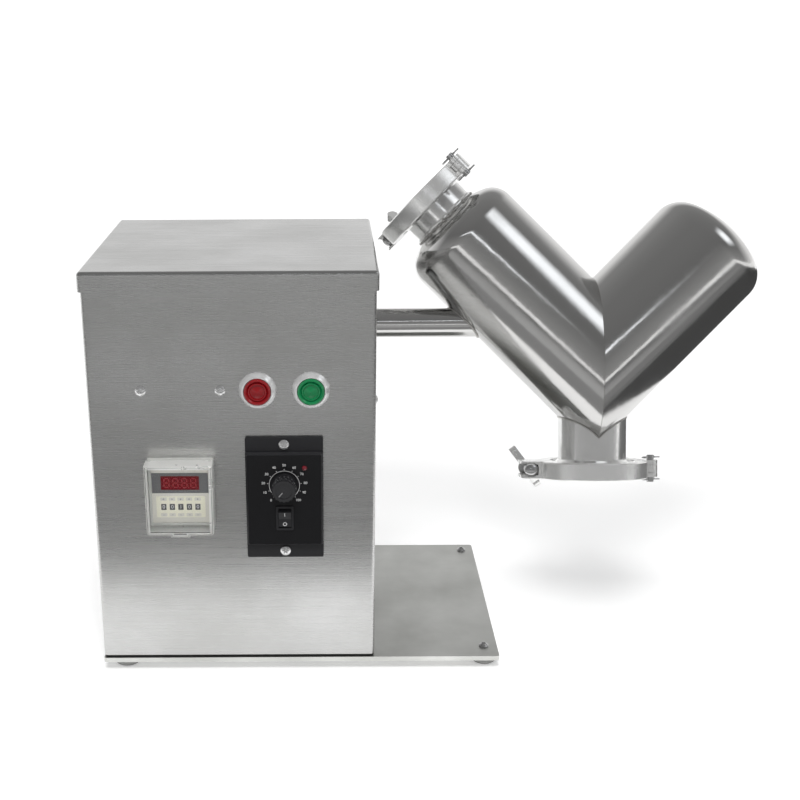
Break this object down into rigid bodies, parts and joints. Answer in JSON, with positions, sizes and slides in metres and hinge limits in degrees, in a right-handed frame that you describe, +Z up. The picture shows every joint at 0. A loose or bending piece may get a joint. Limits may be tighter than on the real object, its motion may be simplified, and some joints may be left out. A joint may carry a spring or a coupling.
{
  "type": "v blender",
  "caption": "Bench-top V blender: sheet-metal drive box with timer, speed control and push buttons, turning a polished V-shaped mixing vessel with clamped inlet and outlet.",
  "frame": {"origin": "on the floor, under the middle of the whole machine's box", "axes": "+X from the drive box to the vessel along the shaft, +Y to the back, +Z up"},
  "size_m": [0.5392, 0.2518, 0.407],
  "materials": {
    "brushed_stainless": "fine brushed stainless sheet",
    "polished_stainless": "mirror polished stainless",
    "cast_stainless": "satin investment casting",
    "fastener_steel": "bright machined steel",
    "drive_steel": "plain steel",
    "bearing_casting": "painted casting",
    "motor_paint": "painted motor body",
    "gear_alloy": "die-cast alloy",
    "bezel_chrome": "chrome plated",
    "black_rubber": "matte",
    "grey_rubber": "matte",
    "black_nylon": "matte moulded nylon",
    "control_black": "fine textured moulding",
    "timer_cream": "smooth moulding",
    "display_red": "smoked red window",
    "lamp_red": "clear red lamp",
    "clear_plastic": "clear moulded plastic",
    "lens_red": "translucent red lens",
    "lens_green": "translucent green lens",
    "white_silicone": "smooth silicone"
  },
  "bodies": {
    "drive_box": {"base_plate": "brushed_stainless", "housing_wrap": "brushed_stainless", "rear_panel": "brushed_stainless", "top_cover": "brushed_stainless", "foot_screws": "fastener_steel", "housing_screws": "fastener_steel", "control_screws": "fastener_steel", "drive_bolts": "drive_steel", "bearing_shelf": "drive_steel", "bearing_stand": "drive_steel", "motor_bracket": "drive_steel", "bearing_housing_left": "bearing_casting", "bearing_housing_right": "bearing_casting", "motor_case": "motor_paint", "gearhead": "gear_alloy", "stop_bezel": "bezel_chrome", "start_bezel": "bezel_chrome", "base_seal": "black_rubber", "feet": "grey_rubber", "shaft_bush": "black_nylon", "cable_gland": "black_nylon", "button_nuts": "black_nylon", "button_contacts": "black_nylon", "speed_control": "control_black", "switch_frame": "control_black", "timer_frame": "timer_cream", "timer_case": "timer_cream", "timer_face": "timer_cream", "timer_keys": "timer_cream", "run_capacitor": "timer_cream", "timer_display": "display_red", "power_lamp": "lamp_red"},
    "vessel": {"main_shaft": "polished_stainless", "output_shaft": "drive_steel", "bearing_rings": "drive_steel", "left_leg": "polished_stainless", "right_leg": "polished_stainless", "left_end": "polished_stainless", "right_end": "polished_stainless", "inlet_ferrule": "polished_stainless", "outlet_ferrule": "polished_stainless", "inlet_gasket": "white_silicone", "outlet_gasket": "white_silicone", "inlet_cap": "polished_stainless", "outlet_cap": "polished_stainless", "inlet_clamp_front": "cast_stainless", "outlet_clamp_front": "cast_stainless", "inlet_hinge_pin": "fastener_steel", "outlet_hinge_pin": "fastener_steel", "inlet_clamp_bolt": "fastener_steel", "outlet_clamp_bolt": "fastener_steel"},
    "inlet_clamp_half": {"inlet_clamp_rear": "cast_stainless"},
    "outlet_clamp_half": {"outlet_clamp_rear": "cast_stainless"},
    "inlet_nut": {"inlet_wing_nut": "cast_stainless"},
    "outlet_nut": {"outlet_wing_nut": "cast_stainless"},
    "stop_push": {"stop_button": "lens_red"},
    "start_push": {"start_button": "lens_green"},
    "knob": {"speed_knob": "control_black"},
    "rocker": {"power_rocker": "control_black"},
    "timer_lid": {"timer_cover": "clear_plastic"}
  },
  "joints": [
    {"name": "vessel_spin", "type": "hinge", "parent": "drive_box", "child": "vessel", "pos_m": [0.13578, -0.0011, 0.264], "axis": [1, 0, 0], "continuous": true},
    {"name": "inlet_clamp_swing", "type": "hinge", "parent": "vessel", "child": "inlet_clamp_half", "pos_m": [0.02155, 0.0009, 0.39381], "axis": [0.7071, -0.2067, -0.6762], "range_deg": [0, 6]},
    {"name": "outlet_clamp_swing", "type": "hinge", "parent": "vessel", "child": "outlet_clamp_half", "pos_m": [0.18428, -0.03677, 0.14733], "axis": [0, -0.2924, -0.9563], "range_deg": [0, 6]},
    {"name": "inlet_nut_travel", "type": "slide", "parent": "vessel", "child": "inlet_nut", "axis": [0.5255, 0.7935, 0.3069], "range_m": [0, 0.0125]},
    {"name": "outlet_nut_travel", "type": "slide", "parent": "vessel", "child": "outlet_nut", "axis": [0, 0.9563, -0.2924], "range_m": [0, 0.0125]},
    {"name": "stop_press", "type": "slide", "parent": "drive_box", "child": "stop_push", "axis": [0, 1, 0], "range_m": [0, 0.004], "stiffness_N_per_m": 400, "springref_m": -0.002},
    {"name": "start_press", "type": "slide", "parent": "drive_box", "child": "start_push", "axis": [0, 1, 0], "range_m": [0, 0.004], "stiffness_N_per_m": 400, "springref_m": -0.002},
    {"name": "speed_turn", "type": "hinge", "parent": "drive_box", "child": "knob", "pos_m": [-0.11762, -0.1126, 0.165], "axis": [0, 1, 0], "range_deg": [0, 280]},
    {"name": "power_rock", "type": "hinge", "parent": "drive_box", "child": "rocker", "pos_m": [-0.11762, -0.1101, 0.1374], "axis": [-1, 0, 0], "range_deg": [0, 18]},
    {"name": "timer_cover_swing", "type": "hinge", "parent": "drive_box", "child": "timer_lid", "pos_m": [-0.19802, -0.1116, 0.1829], "axis": [-1, 0, 0], "range_deg": [0, 95]}
  ],
  "couplings": [
    {"joint": "inlet_nut_travel", "follows": "inlet_clamp_swing", "m_per_rad": 0.115},
    {"joint": "outlet_nut_travel", "follows": "outlet_clamp_swing", "m_per_rad": 0.115}
  ]
}
